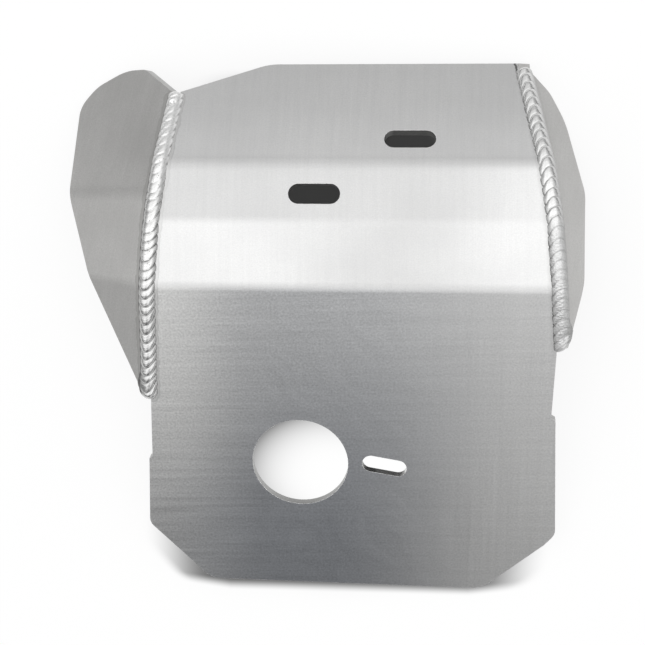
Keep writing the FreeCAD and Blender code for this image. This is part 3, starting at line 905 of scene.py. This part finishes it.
# floor, light and camera; places on the floor are metres in the frame
studio = {
    "floorColour": (0.97, 0.97, 0.97, 1), "floorSize": 24.0, "floorRoughness": 0.9, "floorSpecular": 0.1,
    "lifted": 0.85, "black": (0, 0, 0, 1),
    # painted shade in the hollow under the plate: its place and size, where it ends at the front, how dark
    # it is
    "underPlace": (0.01, 0.02, 0.0), "underSize": (0.13, 0.20, 1.0), "underEdge": (1.0, 0.6),
    "underFront": (0.156, 0.146), "underShade": 0.75,
    # the shade along the rear edge: a point under the edge, its slope, how far the shade reaches out
    # and in, how it curls past its straight part, where it ends at the left, right and front, and
    # how deep it is
    "rearPlace": (0.0042, -0.1637), "rearSlope": 0.04, "rearReach": (0.0054, -0.0020),
    "rearMiddle": 0.0152, "rearStraight": 0.075, "rearCurl": 0.13,
    "rearLeft": (-0.118, -0.072), "rearRight": (0.140, 0.094), "rearFront": (-0.118, -0.134),
    "rearShade": 0.82,
    # the cut corners: a point on each, its slope, and how far the shade passes them
    "cornerLines": ((-0.0932, -0.1478, -0.93), (0.1187, -0.1440, 0.80)), "cornerReach": (0.021, 0.010),
    # painted light, a pale floor patch under the drain opening and the slot beside it: middle and half
    # size of each, then where the patch is brightest and how it falls off
    "windows": (((-0.0155, -0.0865, 0.0), (0.037, 0.034, 1.0)),
                ((0.0367, -0.0845, 0.0), (0.020, 0.011, 1.0))), "windowEdge": (1.15, 1.0),
    "glowPlace": (0.0065, -0.0935, 0.0), "glowSize": (0.0614, 0.0441, 1.0), "glowFall": 4.0,
    "boxHeight": 1.6, "boxRear": -12.0, "boxFront": 45.0, "boxSide": 50.0, "boxLight": 0.35,
    # light from the sky by its angle over the object, rear to front, and how it falls off sideways
    "overhead": [(-90, 0.20), (-60, 0.105), (-52, 0.11), (-46, 0.165), (-40, 0.35), (-31, 0.86),
                 (-15, 1.15), (0, 1.12), (20, 0.86), (40, 0.80), (60, 0.88), (68, 0.72), (76, 0.50),
                 (84, 0.38), (90, 0.34)],
    "sideways": [(0.0, 1.0), (0.5, 0.98), (0.8, 0.76), (0.92, 0.64), (1.0, 0.58)],
    # the dark gap between two pale walls behind the plate; angles are shares of a half turn
    "gapPlace": -0.10, "gapEdge": (0.05, 0.34), "walls": (-0.15, -0.22, 0.2, 2.2),
    "frontDark": (0.2, 0.4), "frontSides": (0.2, 0.6, 0.0, 0.5),
}


def makeFloor():
    half = studio["floorSize"] / 2
    mesh = bpy.data.meshes.new("floor")
    mesh.from_pydata([(-half, -half, 0), (half, -half, 0), (half, half, 0), (-half, half, 0)], [],
                     [(0, 1, 2, 3)])
    floor = newObject("floor", mesh)
    paper = bpy.data.materials.new("studioFloor")
    paper.use_nodes = True
    tree = paper.node_tree
    shader = tree.nodes["Principled BSDF"]
    found = made(tree, "ShaderNodeTexCoord", output="Object")
    spot = parts(found)

    def within(middle, size):
        near = vectorCalc("DIVIDE", vectorCalc("SUBTRACT", found, middle), size)
        return made(tree, "ShaderNodeVectorMath", {0: near}, "Value", operation="LENGTH")

    # painted shade in the plate's hollow and painted shadow along its rear edge
    under = ramp(within(studio["underPlace"], studio["underSize"]), *studio["underEdge"])
    under = under * ramp(spot["Y"], *studio["underFront"])
    x, y = studio["rearPlace"]
    edge = (spot["X"] - x) * studio["rearSlope"] + y
    past = abs(spot["X"] - studio["rearMiddle"]) - studio["rearStraight"]
    edge = largest(past, 0.0) * studio["rearCurl"] + edge
    rear = ramp(edge - spot["Y"], *studio["rearReach"])
    rear = rear * (ramp(spot["X"], *studio["rearLeft"]) * ramp(spot["X"], *studio["rearRight"]))
    rear = rear * ramp(spot["Y"], *studio["rearFront"])
    for x, y, slope in studio["cornerLines"]:
        rear = rear * ramp((spot["X"] - x) * slope + y - spot["Y"], *studio["cornerReach"])
    rear = 1.0 - rear * studio["rearShade"]
    drain, slot = (ramp(within(*window), *studio["windowEdge"]) for window in studio["windows"])
    glow = clamped(1.0 - within(studio["glowPlace"], studio["glowSize"]) ** studio["glowFall"])
    glow = largest(glow * drain, slot)
    shade = (1.0 - under * studio["underShade"]) * rear
    setInputs(shader, {"Roughness": studio["floorRoughness"], "Specular IOR Level": studio["floorSpecular"],
                       "Base Color": mixColour(shade, studio["black"], studio["floorColour"])})
    # paler for the eye away from the plate, and painted light under the openings
    rays = named(addNode(tree, "ShaderNodeLightPath"))
    window = largest(drain, slot)
    clear = largest((1.0 - under) * studio["lifted"], window)
    seen = largest(rays["Is Camera Ray"], largest(rays["Is Glossy Ray"], rays["Is Transmission Ray"]))
    white = made(tree, "ShaderNodeEmission", {"Color": (1, 1, 1, 1), "Strength": mix(window, rear, glow)})
    both = made(tree, "ShaderNodeMixShader", {0: seen * clear, 1: nodeValue(shader.outputs[0]), 2: white})
    setInputs(tree.nodes["Material Output"], {"Surface": both})
    mesh.materials.append(paper)


def makeLight():
    height = studio["boxHeight"]
    rear, front, side = (math.tan(math.radians(studio[name])) * height
                         for name in ("boxRear", "boxFront", "boxSide"))
    lamp = bpy.data.lights.new("softbox", "AREA")
    lamp.shape = "RECTANGLE"
    lamp.size = 2 * side
    lamp.size_y = front - rear
    lamp.energy = studio["boxLight"] * math.pi * lamp.size * lamp.size_y
    newObject("softbox", lamp).location = (0, (front + rear) / 2, height)

    world = bpy.data.worlds.new("studio")
    bpy.context.scene.world = world
    world.use_nodes = True
    tree = world.node_tree
    tree.nodes.clear()
    way = parts(made(tree, "ShaderNodeTexCoord", output="Generated"))
    angle = calc("ARCTAN2", way["Y"], largest(way["Z"], 0.0001)) / math.pi
    along = curve(angle + 0.5, [(a / 180 + 0.5, v) for a, v in studio["overhead"]])
    walls = ramp(abs(way["X"] - studio["gapPlace"]), *studio["gapEdge"]) * ramp(angle, *studio["walls"])
    sides = ramp(angle, *studio["frontDark"]) * ramp(abs(way["X"]), *studio["frontSides"])
    aside = curve(abs(way["X"]), studio["sideways"]) * (1.0 - sides)
    strength = along * aside * (walls + 1.0)
    sky = made(tree, "ShaderNodeBackground", {"Color": (1, 1, 1, 1), "Strength": strength})
    addNode(tree, "ShaderNodeOutputWorld", {"Surface": sky})


# place in the sheet's frame; lens and sensor width are the camera's own millimetres
camera = {"place": (55.12, 500.12, 721.23), "pitch": 24.1258, "yaw": 5.6406, "roll": 1.5755,
          "lens": 78.14, "sensor": 36.0, "nearest": 0.01, "furthest": 100.0}


def makeCamera():
    data = bpy.data.cameras.new("camera")
    data.lens = camera["lens"]
    data.sensor_width = camera["sensor"]
    data.clip_start, data.clip_end = camera["nearest"], camera["furthest"]
    holder = newObject("camera", data)
    turn = (Matrix.Rotation(math.radians(camera["yaw"]), 3, "Y")
            @ Matrix.Rotation(math.radians(-camera["pitch"]), 3, "X")
            @ Matrix.Rotation(math.radians(-camera["roll"]), 3, "Z"))
    place = Matrix.Translation(Vector(camera["place"]) * mm) @ turn.to_4x4()
    holder.matrix_world = sheetFrame @ place
    bpy.context.scene.camera = holder


makeFloor()
makeLight()
makeCamera()
bpy.context.scene.view_settings.view_transform = "Standard"
print("studio made")
